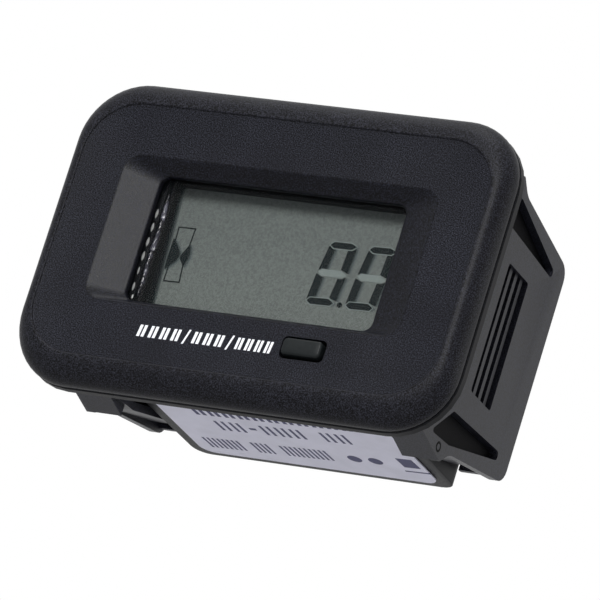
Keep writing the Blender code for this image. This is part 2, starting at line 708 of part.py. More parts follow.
def make_display(materials):
    """Lens, masking frame, glass cell, reflector, holder and the two conductive strips."""
    shape = rounded_rectangle(LENS_WIDTH, LENS_HEIGHT, WINDOW_CORNER - GAP, 4)
    lens = outline_solid("window_lens", shape, LENS_FRONT, LENS_REAR)
    finish(lens, materials["lens"])

    shape = rounded_rectangle(STACK_WIDTH, LCD_HEIGHT, WINDOW_CORNER, 4)
    frame = outline_solid("display_frame", shape, FRAME_FRONT, FRAME_FRONT + FRAME_THICKNESS)
    clear_width = STACK_WIDTH - 2 * FRAME_BORDER
    shape = rounded_rectangle(clear_width, WINDOW_HEIGHT + GAP, WINDOW_CORNER - GAP, 4)
    low = FRAME_FRONT - GAP
    high = FRAME_FRONT + FRAME_THICKNESS + GAP
    cut(frame, outline_solid("frame_cutter", shape, low, high))
    finish(frame, materials["rubber"])

    half = STACK_WIDTH / 2
    top = LCD_HEIGHT / 2
    middle = LCD_FRONT + LCD_GLASS
    cell = box("lcd_cell", (-half, LCD_FRONT, -top), (half, middle, top))
    top = LCD_REAR_HEIGHT / 2
    join(cell, box("rear_glass", (-half, middle - GAP, -top), (half, LCD_REAR, top)))
    finish(cell, materials["glass"])

    width = clear_width / 2
    high = REFLECTOR_FRONT + REFLECTOR_THICKNESS
    reflector = box("reflector_sheet", (-width, REFLECTOR_FRONT, -top), (width, high, top))
    finish(reflector, materials["white"])

    top = HOLDER_HEIGHT / 2
    rear = HOLDER_FRONT + HOLDER_DEPTH
    holder = box("display_holder", (-half, HOLDER_FRONT, -top), (half, rear, top))
    zebra_middle = LCD_REAR_HEIGHT / 2 + FINE_GAP + ZEBRA_THICKNESS / 2
    for level in (1, -1):
        near = level * zebra_middle - ZEBRA_THICKNESS / 2 - FINE_GAP
        far = level * zebra_middle + ZEBRA_THICKNESS / 2 + FINE_GAP
        side = ZEBRA_WIDTH / 2 + FINE_GAP
        low = (-side, HOLDER_FRONT - GAP, near)
        cut(holder, box(f"zebra_slot_{level}", low, (side, rear + GAP, far)))
    inset = 4 * FRAME_BORDER
    low = (-half + inset, HOLDER_FRONT + HOLDER_FLOOR, -LCD_REAR_HEIGHT / 2 + HOLDER_FLOOR)
    high = (half - inset, rear + GAP, LCD_REAR_HEIGHT / 2 - HOLDER_FLOOR)
    cut(holder, box("holder_pocket", low, high))
    finish(holder, materials["holder"])

    for level, tag in ((1, "upper"), (-1, "lower")):
        near = level * zebra_middle - ZEBRA_THICKNESS / 2
        low = (-ZEBRA_WIDTH / 2, middle + FINE_GAP, near)
        high = (ZEBRA_WIDTH / 2, BOARD_FRONT - FINE_GAP, near + ZEBRA_THICKNESS)
        finish(box(f"zebra_strip_{tag}", low, high), materials["rubber"])


def make_board(materials):
    """Circuit board on its posts with three screws."""
    shape = rounded_rectangle(STACK_WIDTH, BOARD_HEIGHT, BOARD_CORNER, 3)
    board = outline_solid("circuit_board", shape, BOARD_FRONT, BOARD_REAR)
    for index, (x, z) in enumerate(post_places()[:3]):
        start = (x, BOARD_FRONT - GAP, z)
        depth = BOARD_THICKNESS + 2 * GAP
        radius = SCREW_RADIUS + FINE_GAP
        cut(board, rod(f"board_hole_{index}", start, radius, depth, sides=16))
    finish(board, materials["board"])
    for index, (x, z) in enumerate(post_places()[:3]):
        seat = BOARD_FRONT - FINE_GAP
        profile = [
            (0.0, seat - SCREW_HEAD_HEIGHT),
            (SCREW_HEAD_RADIUS * 0.7, seat - SCREW_HEAD_HEIGHT),
            (SCREW_HEAD_RADIUS, seat - SCREW_HEAD_HEIGHT / 2),
            (SCREW_HEAD_RADIUS, seat),
            (SCREW_RADIUS, seat),
            (SCREW_RADIUS, seat + SCREW_LENGTH - SCREW_RADIUS),
            (0.0, seat + SCREW_LENGTH),
        ]
        screw = turned(f"board_screw_{index + 1}", profile, (x, 0.0, z), 16)
        finish(screw, materials["steel"])


def make_button(materials):
    """Mode key with a retaining flange and stem, the switch and its plunger."""
    x, z = BUTTON_X, BUTTON_Z
    flange_rear = BEZEL_REAR
    flange_front = flange_rear - BUTTON_FLANGE_DEPTH
    front = FACE_FRONT - BUTTON_PROUD
    corner = BUTTON_EDGE
    key_outline = rounded_rectangle(BUTTON_WIDTH, BUTTON_HEIGHT, corner, 4, (x, z))
    top_outline = rounded_rectangle(
        BUTTON_WIDTH - corner, BUTTON_HEIGHT - corner, corner, 4, (x, z)
    )
    key = loft("mode_button", [
        (front, top_outline), (front + corner / 2, key_outline), (flange_front + GAP, key_outline),
    ])
    border = BUTTON_FLANGE_BORDER
    half_x, half_z = BUTTON_WIDTH / 2 + border, BUTTON_HEIGHT / 2 + border
    low = (x - half_x, flange_front, z - half_z)
    join(key, box("button_flange", low, (x + half_x, flange_rear, z + half_z)))
    plunger_front = BOARD_FRONT - FINE_GAP - SWITCH_DEPTH - PLUNGER_PROUD
    low = (x - STEM_WIDTH / 2, flange_rear - GAP, z - STEM_HEIGHT / 2)
    high = (x + STEM_WIDTH / 2, plunger_front - GAP, z + STEM_HEIGHT / 2)
    join(key, box("button_stem", low, high))
    finish(key, materials["button"])

    switch_rear = BOARD_FRONT - FINE_GAP
    switch_front = switch_rear - SWITCH_DEPTH
    low = (x - SWITCH_WIDTH / 2, switch_front, z - SWITCH_HEIGHT / 2)
    high = (x + SWITCH_WIDTH / 2, switch_rear, z + SWITCH_HEIGHT / 2)
    switch = box("tact_switch", low, high)
    bevel(switch, GAP, 1)
    reach = PLUNGER_INSIDE + BUTTON_TRAVEL + GAP
    low = (x - PLUNGER_WIDTH / 2 - GAP, switch_front - GAP, z - PLUNGER_HEIGHT / 2 - GAP)
    high = (x + PLUNGER_WIDTH / 2 + GAP, switch_front + reach, z + PLUNGER_HEIGHT / 2 + GAP)
    cut(switch, box("plunger_hole", low, high))
    finish(switch, materials["chip"])

    low = (x - PLUNGER_WIDTH / 2, plunger_front, z - PLUNGER_HEIGHT / 2)
    high = (x + PLUNGER_WIDTH / 2, switch_front + PLUNGER_INSIDE, z + PLUNGER_HEIGHT / 2)
    finish(box("switch_plunger", low, high), materials["holder"])


def make_chip(made_of):
    """Microcontroller with gull legs on two sides, soldered behind the display."""
    x, half_x, half_z = CELL_X, CHIP_LENGTH / 2, CHIP_HEIGHT / 2
    low = PART_BASE + GAP
    high = low + CHIP_THICKNESS
    chip = box("microcontroller", (x - half_x, low, -half_z), (x + half_x, high, half_z))
    legs = bmesh.new()
    for index in range(CHIP_LEG_COUNT):
        offset = (index - (CHIP_LEG_COUNT - 1) / 2) * CHIP_LEG_PITCH
        for level in (1, -1):
            centre = Vector((x + offset, low, level * half_z))
            size = Vector((CHIP_LEG_WIDTH, 2 * GAP, 2 * CHIP_LEG_REACH))
            made = bmesh.ops.create_cube(legs, size=1.0)
            place = Matrix.Translation(centre) @ Matrix.Diagonal((*size, 1.0))
            bmesh.ops.transform(legs, matrix=place, verts=made["verts"])
    mesh = bpy.data.meshes.new("chip_legs")
    legs.to_mesh(mesh)
    legs.free()
    join(chip, add_object("chip_legs", mesh))
    return finish(chip, made_of)


def make_axial(name, z, body_radius, body_length, span, made_of):
    """Resistor or diode lying on the board: a turned body on a bent lead."""
    lead_radius = LEAD_RADIUS
    x = CELL_X + body_radius
    lift = PART_BASE + body_radius + GAP
    lead = bpy.data.curves.new(name, "CURVE")
    lead.dimensions = "3D"
    lead.bevel_depth = lead_radius
    lead.bevel_resolution = 1
    lead.use_fill_caps = True
    line = lead.splines.new("POLY")
    bend = 2 * lead_radius
    route = [
        (x - span / 2, PART_BASE, z), (x - span / 2, lift - bend, z),
        (x - span / 2 + bend, lift, z), (x + span / 2 - bend, lift, z),
        (x + span / 2, lift - bend, z), (x + span / 2, PART_BASE, z),
    ]
    line.points.add(len(route) - 1)
    for point, place in zip(line.points, route):
        point.co = (*place, 1.0)
    drawn = bpy.data.objects.new(name, lead)
    collection.objects.link(drawn)
    bpy.context.view_layer.update()
    evaluated = drawn.evaluated_get(bpy.context.evaluated_depsgraph_get())
    mesh = bpy.data.meshes.new_from_object(evaluated)
    bpy.data.objects.remove(drawn, do_unlink=True)
    bpy.data.curves.remove(lead)
    shape = bmesh.new()
    shape.from_mesh(mesh)
    bmesh.ops.remove_doubles(shape, verts=shape.verts, dist=1e-7)
    bmesh.ops.recalc_face_normals(shape, faces=shape.faces)
    shape.to_mesh(mesh)
    shape.free()
    part = add_object(name, mesh)
    start = (x - body_length / 2, lift, z)
    join(part, rod(f"{name}_body", start, body_radius, body_length, "X", 16))
    return finish(part, made_of)


def make_capacitor(made_of):
    """Round capacitor standing on the board, with the crimp groove near its foot."""
    radius, groove = CAPACITOR_RADIUS, CAPACITOR_GROOVE
    bead = PART_BASE + CAPACITOR_BEAD
    top = PART_BASE + CAPACITOR_LENGTH
    profile = [
        (0.0, PART_BASE), (radius - groove, PART_BASE), (radius, PART_BASE + groove),
        (radius, bead), (radius - groove, bead + groove), (radius, bead + 2 * groove),
        (radius, top - groove), (radius - groove, top), (0.0, top),
    ]
    middle = (STACK_WIDTH / 2 - radius, 0.0, CAPACITOR_Z)
    return finish(turned("supply_capacitor", profile, middle, 24), made_of)


def make_regulator(made_of):
    """Three-legged regulator with a flat face, standing off the board."""
    x = STACK_WIDTH / 2 - REGULATOR_RADIUS - EDGE_MARGIN
    z, radius = REGULATOR_Z, REGULATOR_RADIUS
    face = math.radians(40)
    turns = [face + (2 * math.pi - 2 * face) * step / 14 for step in range(15)]
    outline = [(x + radius * math.sin(t), z + radius * math.cos(t)) for t in turns]
    lift = PART_BASE + REGULATOR_LIFT
    regulator = outline_solid("voltage_regulator", outline, lift, lift + REGULATOR_LENGTH)
    half = REGULATOR_LEG / 2
    for index in (-1, 0, 1):
        middle = x + index * REGULATOR_PITCH
        low = (middle - half, PART_BASE, z - half)
        high = (middle + half, lift + GAP, z + half)
        join(regulator, box(f"regulator_leg_{index}", low, high))
    return finish(regulator, made_of)


def make_components(materials):
    """Power parts behind the board, clear of the coin cell."""
    make_chip(materials["chip"])
    make_axial("input_resistor", -AXIAL_Z, RESISTOR_RADIUS, RESISTOR_LENGTH, RESISTOR_SPAN,
               materials["resistor"])
    make_axial("protection_diode", AXIAL_Z, DIODE_RADIUS, DIODE_LENGTH, DIODE_SPAN,
               materials["chip"])
    make_capacitor(materials["sleeve"])
    make_regulator(materials["chip"])
    radius = CRYSTAL_RADIUS
    start = (STACK_WIDTH / 2 - 2 * radius - EDGE_MARGIN, PART_BASE + radius, -CRYSTAL_LENGTH / 2)
    finish(rod("clock_crystal", start, radius, CRYSTAL_LENGTH, "Z", 16), materials["steel"])


def make_cell(materials):
    """Coin cell on a stand of two bent contacts."""
    front = PART_BASE + CELL_LIFT
    edge = CELL_EDGE
    profile = [
        (0.0, front), (CELL_RADIUS - 3 * edge, front), (CELL_RADIUS - 2 * edge, front + edge),
        (CELL_RADIUS, front + 2 * edge), (CELL_RADIUS, front + CELL_HEIGHT - edge),
        (CELL_RADIUS - edge, front + CELL_HEIGHT), (0.0, front + CELL_HEIGHT),
    ]
    finish(turned("coin_cell", profile, (CELL_X, 0.0, 0.0), 40), materials["steel"])

    thick = CONTACT_THICKNESS
    half = CONTACT_WIDTH / 2
    left = CELL_X - CELL_RADIUS - GAP
    level = front - GAP
    strip = [
        (left - thick, PART_BASE), (left, PART_BASE), (left, level - thick),
        (CELL_X + CELL_RADIUS / 2, level - thick), (CELL_X + CELL_RADIUS / 2, level),
        (left - thick, level),
    ]
    made = outline_solid("battery_contact_negative", strip, -half, half, "Z")
    finish(made, materials["contact"])

    right = CELL_X + CELL_RADIUS + GAP
    level = front + CELL_HEIGHT + GAP
    strip = [
        (right, PART_BASE), (right + thick, PART_BASE), (right + thick, level + thick),
        (CELL_X - CELL_RADIUS / 2, level + thick), (CELL_X - CELL_RADIUS / 2, level),
        (right, level),
    ]
    made = outline_solid("battery_contact_positive", strip, -half, half, "Z")
    finish(made, materials["contact"])


def make_bushing(made_of):
    """Rubber wire outlet held by its groove in the rear wall, with open wire bores."""
    inner = CAVITY_REAR - GAP
    outer = BODY_LENGTH + GAP
    nose = outer + BUSHING_FLANGE_DEPTH
    tip = nose + BUSHING_NOSE_DEPTH
    profile = [
        (0.0, inner - BUSHING_FLANGE_DEPTH), (BUSHING_NECK, inner - BUSHING_FLANGE_DEPTH),
        (BUSHING_FLANGE - GAP, inner - GAP), (BUSHING_FLANGE - GAP, inner),
        (BUSHING_NECK, inner), (BUSHING_NECK, outer),
        (BUSHING_FLANGE, outer), (BUSHING_FLANGE, nose - GAP), (BUSHING_FLANGE - GAP, nose),
        (BUSHING_NOSE, nose), (BUSHING_NOSE - 2 * GAP, tip), (0.0, tip),
    ]
    bushing = turned("wire_bushing", profile, (0.0, 0.0, 0.0), 32)
    for index in range(WIRE_COUNT):
        turn = 2 * math.pi * (index + 0.25) / WIRE_COUNT
        x, z = WIRE_RING * math.cos(turn), WIRE_RING * math.sin(turn)
        start = (x, inner - BUSHING_FLANGE_DEPTH - GAP, z)
        length = tip - inner + BUSHING_FLANGE_DEPTH + 2 * GAP
        cut(bushing, rod(f"wire_bore_{index}", start, WIRE_BORE, length, sides=12))
    return finish(bushing, made_of)


def make_label(made_of):
    """White sticker on the flat underside of the housing."""
    high = -BODY_HEIGHT / 2 - LABEL_GAP
    low = high - LABEL_THICKNESS
    near, far = 2 * GAP, BODY_LENGTH - LABEL_REAR_MARGIN
    half = LABEL_WIDTH / 2
    shape = fillet([(half, near), (half, far), (-half, far), (-half, near)], [LABEL_CORNER] * 4, 5)
    return finish(outline_solid("underside_label", shape, low, high, "Z"), made_of)


MATERIALS = {
    "bezel": material("black_bezel_plastic", (0.023, 0.023, 0.028), 0.50),
    "housing": material("black_housing_plastic", (0.014, 0.015, 0.016), 0.45),
    "clip": material("black_clip_plastic", (0.050, 0.050, 0.060), 0.42),
    "button": material("black_rubber_button", (0.012, 0.014, 0.014), 0.40),
    "lens": material("clear_lens_plastic", (0.80, 0.82, 0.82), 0.05),
    "glass": material("display_glass", (0.26, 0.28, 0.24), 0.15),
    "white": material("white_reflector_film", (0.80, 0.80, 0.78), 0.50),
    "holder": material("white_holder_plastic", (0.70, 0.70, 0.68), 0.50),
    "rubber": material("black_elastomer", (0.010, 0.010, 0.011), 0.60),
    "board": material("green_board_laminate", (0.015, 0.110, 0.045), 0.40),
    "steel": material("plated_steel", (0.60, 0.60, 0.58), 0.25, 1.0),
    "contact": material("spring_contact_metal", (0.72, 0.68, 0.55), 0.25, 1.0),
    "chip": material("black_chip_resin", (0.012, 0.012, 0.012), 0.55),
    "resistor": material("tan_resistor_coating", (0.45, 0.32, 0.18), 0.45),
    "sleeve": material("dark_capacitor_sleeve", (0.010, 0.016, 0.045), 0.30),
    "label": material("white_label_film", (0.85, 0.85, 0.86), 0.45),
}

make_bezel(MATERIALS["bezel"])
make_housing(MATERIALS["housing"])
make_clip("mounting_clip_right", 1, MATERIALS["clip"])
make_clip("mounting_clip_left", -1, MATERIALS["clip"])
make_display(MATERIALS)
make_board(MATERIALS)
make_button(MATERIALS)
make_components(MATERIALS)
make_cell(MATERIALS)
make_bushing(MATERIALS["rubber"])
make_label(MATERIALS["label"])
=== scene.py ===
import bmesh
import bpy
import numpy as np
from mathutils import Matrix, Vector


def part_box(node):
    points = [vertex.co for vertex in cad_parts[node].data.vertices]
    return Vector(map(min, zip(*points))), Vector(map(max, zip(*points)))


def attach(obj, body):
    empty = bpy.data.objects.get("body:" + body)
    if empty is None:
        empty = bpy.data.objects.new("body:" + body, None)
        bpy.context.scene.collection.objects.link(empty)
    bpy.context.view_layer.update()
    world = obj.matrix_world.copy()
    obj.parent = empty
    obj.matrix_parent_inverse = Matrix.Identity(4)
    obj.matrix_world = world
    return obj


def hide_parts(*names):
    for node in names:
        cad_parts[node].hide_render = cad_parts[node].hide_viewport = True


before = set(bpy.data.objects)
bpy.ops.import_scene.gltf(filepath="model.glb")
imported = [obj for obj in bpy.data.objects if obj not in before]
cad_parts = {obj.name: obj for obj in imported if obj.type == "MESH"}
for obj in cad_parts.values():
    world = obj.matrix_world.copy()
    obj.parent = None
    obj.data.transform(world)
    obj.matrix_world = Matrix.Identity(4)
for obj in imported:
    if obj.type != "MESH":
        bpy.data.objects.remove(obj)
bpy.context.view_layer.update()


# Studio. The meter hangs free in a white room, as in a catalogue picture, far above a pale floor.
# A small soft lamp in front draws the grain, a weak one nearer opens the shadows, wide ones shine
# from above and from low in front, and one behind on the right skims the clip's wall.
scene = bpy.context.scene
MIDDLE = (0.0, 0.010, 0.0)
FLOOR_Z, FLOOR_HALF = -0.32, 4.0


def linear(code):
    """sRGB hex to linear light: v / 12.92 up to 0.04045, else ((v + 0.055) / 1.055) ** 2.4."""
    value = np.array([int(code[i:i + 2], 16) for i in (1, 3, 5)]) / 255
    bright = ((value + 0.055) / 1.055) ** 2.4
    return (*np.where(value <= 0.04045, value / 12.92, bright).tolist(), 1.0)


def add_node(tree, kind, links=None, **settings):
    """Adds one node; links gives each named or numbered input a constant or another's output."""
    node = tree.nodes.new(kind)
    for name, value in settings.items():
        setattr(node, name, value)
    for name, value in (links or {}).items():
        if isinstance(value, bpy.types.NodeSocket):
            tree.links.new(value, node.inputs[name])
        else:
            node.inputs[name].default_value = value
    return node


def rays_that_look(tree):
    """1 for the eye, for mirrors and for glass, and 0 for the light that falls on things."""
    path = add_node(tree, "ShaderNodeLightPath")
    seen = add_node(tree, "ShaderNodeMath", {
        0: path.outputs["Is Camera Ray"], 1: path.outputs["Is Glossy Ray"]}, operation="MAXIMUM")
    looks = add_node(tree, "ShaderNodeMath", {
        0: seen.outputs[0], 1: path.outputs["Is Transmission Ray"]}, operation="MAXIMUM")
    return looks.outputs[0]


def facing(place, away, side=None):
    """Matrix at a place whose Z runs along away and whose X is level, or nearest to side."""
    z = np.array(away, float) / np.linalg.norm(away)
    x = np.cross((0.0, 0.0, 1.0), z) if side is None else np.array(side, float)
    x = x - (x @ z) * z
    x = x / np.linalg.norm(x)
    turn = np.eye(4)
    turn[:3] = np.column_stack([x, np.cross(z, x), z, place])
    return Matrix(turn.tolist())


def soft_lamp(name, place, size, power):
    """Square area lamp aimed at the middle of the meter; its light leaves along its own -Z."""
    lamp = bpy.data.lights.new(name, "AREA")
    lamp.size = size
    lamp.energy = power
    made = bpy.data.objects.new(name, lamp)
    made.matrix_world = facing(place, np.array(place) - MIDDLE)
    scene.collection.objects.link(made)


# The room is plain white to the eye and in reflections, but lights things only dimly.
scene.view_settings.view_transform = "Standard"
world = bpy.data.worlds.new("white_room")
world.use_nodes = True
tree = world.node_tree
tree.nodes.clear()
fill = add_node(tree, "ShaderNodeBackground", {"Color": linear("#f6f8ff"), "Strength": 0.30})
white = add_node(tree, "ShaderNodeBackground", {"Color": (1, 1, 1, 1), "Strength": 1.0})
room = add_node(tree, "ShaderNodeMixShader", {
    0: rays_that_look(tree), 1: fill.outputs[0], 2: white.outputs[0]})
add_node(tree, "ShaderNodeOutputWorld", {"Surface": room.outputs[0]})
scene.world = world

soft_lamp("lamp_front", place=(0.085, -0.37, 0.135), size=0.13, power=1.15)
soft_lamp("lamp_near", place=(-0.015, -0.240, 0.085), size=0.07, power=0.16)
soft_lamp("lamp_above", place=(-0.10, -0.22, 0.66), size=0.40, power=2.0)
# Leaning back, it clears the floor with its upper edge only, and so lifts the underside a little.
soft_lamp("lamp_low", place=(0.16, -0.42, -0.42), size=0.36, power=1.30)
soft_lamp("lamp_behind_right", place=(0.66, 0.36, 0.14), size=0.30, power=0.6)

camera = bpy.data.cameras.new("camera")
camera.lens = 402.8
camera.sensor_width = 36.0
camera.clip_start = 0.01
eye = bpy.data.objects.new("camera", camera)
eye.matrix_world = facing(
    place=(0.331957, -0.580002, -0.223334), away=(0.467085, -0.826959, -0.313002),
    side=(0.876872, 0.387698, 0.284227))
scene.collection.objects.link(eye)
scene.camera = eye

# Matt pale paint: a soft shadow falls on it, and the eye sees it nearly as white as the room.
square = np.array([(-1, -1), (1, -1), (1, 1), (-1, 1)]) * FLOOR_HALF
floor_mesh = bpy.data.meshes.new("floor")
floor_mesh.from_pydata(np.column_stack([square, [FLOOR_Z] * 4]).tolist(), [], [(0, 1, 2, 3)])
floor = bpy.data.objects.new("floor", floor_mesh)
scene.collection.objects.link(floor)
paint = bpy.data.materials.new("pale_floor_paint")
paint.use_nodes = True
tree = paint.node_tree
tree.nodes.clear()
matt = add_node(tree, "ShaderNodeBsdfDiffuse", {"Color": linear("#e6e6e8")})
glow = add_node(tree, "ShaderNodeEmission", {"Color": (1, 1, 1, 1), "Strength": 1.0})
whitened = add_node(
    tree, "ShaderNodeMath", {0: rays_that_look(tree), 1: 0.8}, operation="MULTIPLY")
coat = add_node(tree, "ShaderNodeMixShader", {
    0: whitened.outputs[0], 1: matt.outputs[0], 2: glow.outputs[0]})
add_node(tree, "ShaderNodeOutputMaterial", {"Surface": coat.outputs[0]})
floor_mesh.materials.append(paint)


# Front bezel: one injection moulding in black ABS. A domed shoulder runs round a sunk face, whose
# mould was spark-eroded to a fine sparkling grain. Sloped sides lead down to the window, and a
# slot lets the key through. It is welded to the housing's flange behind a narrow shadow line.
MM = 0.001
CREASE = 38  # degrees: where two faces turn more than this, the edge between them stays sharp


def new_finish(name, roughness, level=0.5, metallic=0.0):
    """Principled material; gives it, its nodes, its shader and the object coordinates in metres."""
    made = bpy.data.materials.new(name)
    made.use_nodes = True
    tree = made.node_tree
    shader = tree.nodes["Principled BSDF"]
    shader.inputs["Roughness"].default_value = roughness
    shader.inputs["Specular IOR Level"].default_value = level
    shader.inputs["Metallic"].default_value = metallic
    return made, tree, shader, add_node(tree, "ShaderNodeTexCoord").outputs["Object"]


def black_abs(name, dark, pale, grain, relief, roughness, level, peak=2.0):
    """Injection-moulded black ABS with the mould's grain; grain and relief are its sizes in mm.

    Each pit's crest is painted paler: painted glints for the light each pit turns its own way,
    so the eye sees a satin black with fine pale points.
    Peak is how far a pit's crest goes from dark to pale, and over 1 it widens the pale points.
    The grain is drawn a little coarser than the real 0.1 mm, so that it shows in the picture.
    """
    made, tree, shader, spot = new_finish(name, roughness, level)
    shader.inputs["IOR"].default_value = 1.53
    pits = add_node(tree, "ShaderNodeTexNoise", {
        "Vector": spot, "Scale": 1 / (grain * MM), "Detail": 4.0, "Roughness": 0.62})
    crest = add_node(tree, "ShaderNodeMapRange", {
        "Value": pits.outputs["Fac"], "From Min": 0.44, "From Max": 0.68, "To Max": peak})
    flow = add_node(tree, "ShaderNodeTexNoise", {
        "Vector": spot, "Scale": 1 / (7.0 * MM), "Detail": 2.0})
    drift = add_node(tree, "ShaderNodeMapRange", {
        "Value": flow.outputs["Fac"], "From Min": 0.3, "From Max": 0.7,
        "To Min": 0.8, "To Max": 1.15})
    both = add_node(tree, "ShaderNodeMath", {0: crest.outputs[0], 1: drift.outputs[0]},
                    operation="MULTIPLY", use_clamp=True)
    tint = add_node(tree, "ShaderNodeMix", {
        0: both.outputs[0], 6: linear(dark), 7: linear(pale)}, data_type="RGBA")
    tree.links.new(tint.outputs[2], shader.inputs["Base Color"])
    satin = add_node(tree, "ShaderNodeMapRange", {
        "Value": pits.outputs["Fac"], "From Min": 0.3, "From Max": 0.7,
        "To Min": roughness - 0.07, "To Max": roughness + 0.09})
    tree.links.new(satin.outputs[0], shader.inputs["Roughness"])
    bump = add_node(tree, "ShaderNodeBump", {
        "Height": pits.outputs["Fac"], "Strength": 0.7, "Distance": relief * MM})
    tree.links.new(bump.outputs[0], shader.inputs["Normal"])
    return made


def box_mm(node):
    """Lowest and highest corner of a solid at rest, in mm."""
    return [np.array(corner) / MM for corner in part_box(node)]


def round_outline(half_x, half_z, radius, z=0.0, x=0.0, steps=12):
    """Rounded rectangle about (x, z): each corner's centre plus radius times (cos t, sin t)."""
    quarter = np.linspace(0, np.pi / 2, steps + 1)
    t = np.concatenate([quarter + k * np.pi / 2 for k in range(4)])
    across = np.repeat([1, -1, -1, 1], steps + 1)
    up = np.repeat([1, 1, -1, -1], steps + 1)
    return np.column_stack([x + across * (half_x - radius) + radius * np.cos(t),
                            z + up * (half_z - radius) + radius * np.sin(t)])


def grid_faces(rows, columns, wrap_rows=False, wrap_columns=False):
    """Quads between neighbours in a grid of points; a wrapped side joins its end to its start."""
    i, j = np.meshgrid(np.arange(rows if wrap_rows else rows - 1),
                       np.arange(columns if wrap_columns else columns - 1), indexing="ij")
    below, beside = (i + 1) % rows, (j + 1) % columns
    quads = [i * columns + j, i * columns + beside, below * columns + beside, below * columns + j]
    return np.stack(quads, -1).reshape(-1, 4).tolist()


def new_mesh(name, points, faces):
    """Mesh of an array of points in mm, row after row, and of faces that give their numbers."""
    mesh = bpy.data.meshes.new(name)
    mesh.from_pydata((points.reshape(-1, 3) * MM).tolist(), [], faces)
    return mesh


def settle(name, mesh, crease=CREASE):
    """Merges doubles, turns the faces outwards, smooths all but creased edges, links the piece."""
    work = bmesh.new()
    work.from_mesh(mesh)
    bmesh.ops.remove_doubles(work, verts=work.verts, dist=1e-7)
    bmesh.ops.recalc_face_normals(work, faces=work.faces)
    work.to_mesh(mesh)
    work.free()
    mesh.shade_smooth()
    mesh.set_sharp_from_angle(angle=np.radians(crease))
    made = bpy.data.objects.new(name, mesh)
    scene.collection.objects.link(made)
    return made


def ring_surface(name, rings, closed=False, finishes=None):
    """Surface through rings of equal count: point (i, j) is point j of outline i, at depth i.

    Each ring is (depth along Y, outline in X and Z). A closed stack joins its end to its start,
    and an open one is capped. Finishes gives each band's place in the list of materials.
    """
    count = len(rings[0][1])
    depth = np.repeat([ring[0] for ring in rings], count)
    flat = np.concatenate([ring[1] for ring in rings])
    faces = grid_faces(len(rings), count, wrap_rows=closed, wrap_columns=True)
    if not closed:
        faces += [list(range(count))[::-1], list(range(len(depth) - count, len(depth)))]
    mesh = new_mesh(name, np.column_stack([flat[:, 0], depth, flat[:, 1]]), faces)
    if finishes is not None:
        mesh.polygons.foreach_set("material_index", np.repeat(finishes, count).astype(np.int32))
    return settle(name, mesh)


def cut_away(piece, tool):
    """Takes the tool's solid out of the piece for good and removes the tool."""
    step = piece.modifiers.new("cut", "BOOLEAN")
    step.operation, step.solver, step.object = "DIFFERENCE", "EXACT", tool
    bpy.context.view_layer.update()
    graph = bpy.context.evaluated_depsgraph_get()
    mesh = bpy.data.meshes.new_from_object(piece.evaluated_get(graph))
    piece.modifiers.clear()
    piece.data = mesh
    bpy.data.objects.remove(tool, do_unlink=True)
    mesh.shade_smooth()
    mesh.set_sharp_from_angle(angle=np.radians(CREASE))


def dressed(piece, body, slot, *finishes):
    """Gives a finished piece its materials and the body it moves with. The slot is not used."""
    for finish in finishes:
        piece.data.materials.append(finish)
    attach(piece, body)


RIM_X, RIM_Z, RIM_CORNER = 26.0, 17.5, 7.0
DOME_SIDE, DOME_TOP = 1.6, 2.8
PARTING, SHOULDER, BROW, FACE = -1.4, -1.75, -4.1, -3.9
key_low, key_high = box_mm("mode_button")
KEY_X, KEY_Z = (key_low[0] + key_high[0]) / 2, (key_low[2] + key_high[2]) / 2

# The back edge, the dome's quarter ellipse, and the small step down to the sunk face.
rings = [(depth, round_outline(RIM_X - inset, RIM_Z - inset, RIM_CORNER - inset))
         for depth, inset in ((PARTING, 0.14), (PARTING - 0.06, 0.03))]
t = np.linspace(0, np.pi / 2, 17)
rings += [(depth, round_outline(RIM_X - DOME_SIDE * inset, RIM_Z - DOME_TOP * inset,
                                RIM_CORNER - inset))
          for depth, inset in zip(SHOULDER + (BROW - SHOULDER) * np.sin(t), 1 - np.cos(t))]
rings += [(depth, round_outline(RIM_X - DOME_SIDE - inset, RIM_Z - DOME_TOP - inset,
                                RIM_CORNER - 1 - inset))
          for depth, inset in ((BROW + 0.01, 0.06), (BROW + 0.06, 0.11), (-3.98, 0.15),
                               (-3.92, 0.19), (FACE, 0.26))]
face_band = len(rings) - 1

# The window: a softened edge, the sloped sides, the opening, and the pane's seat behind it.
rings += [(depth, round_outline(half_x, half_z, radius, lift))
          for depth, half_x, half_z, radius, lift in (
              (FACE, 18.90, 8.52, 2.10, 0.33), (FACE + 0.02, 18.74, 8.40, 2.00, 0.33),
              (FACE + 0.08, 18.60, 8.28, 1.90, 0.32), (FACE + 0.15, 18.42, 8.20, 1.85, 0.31),
              (-2.52, 15.08, 7.34, 1.20, 0.02), (-2.45, 14.86, 7.27, 1.12, 0.0),
              (-2.36, 14.75, 7.22, 1.10, 0.0), (-2.25, 14.71, 7.20, 1.10, 0.0),
              (-1.90, 14.71, 7.20, 1.10, 0.0), (-1.90, 15.38, 8.18, 1.10, 0.0),
              (PARTING, 15.38, 8.18, 1.10, 0.0))]
finishes = np.zeros(len(rings), int)
finishes[face_band] = 1
finishes[face_band + 1:] = 2
bezel = ring_surface("bezel_shell", rings, closed=True, finishes=finishes)

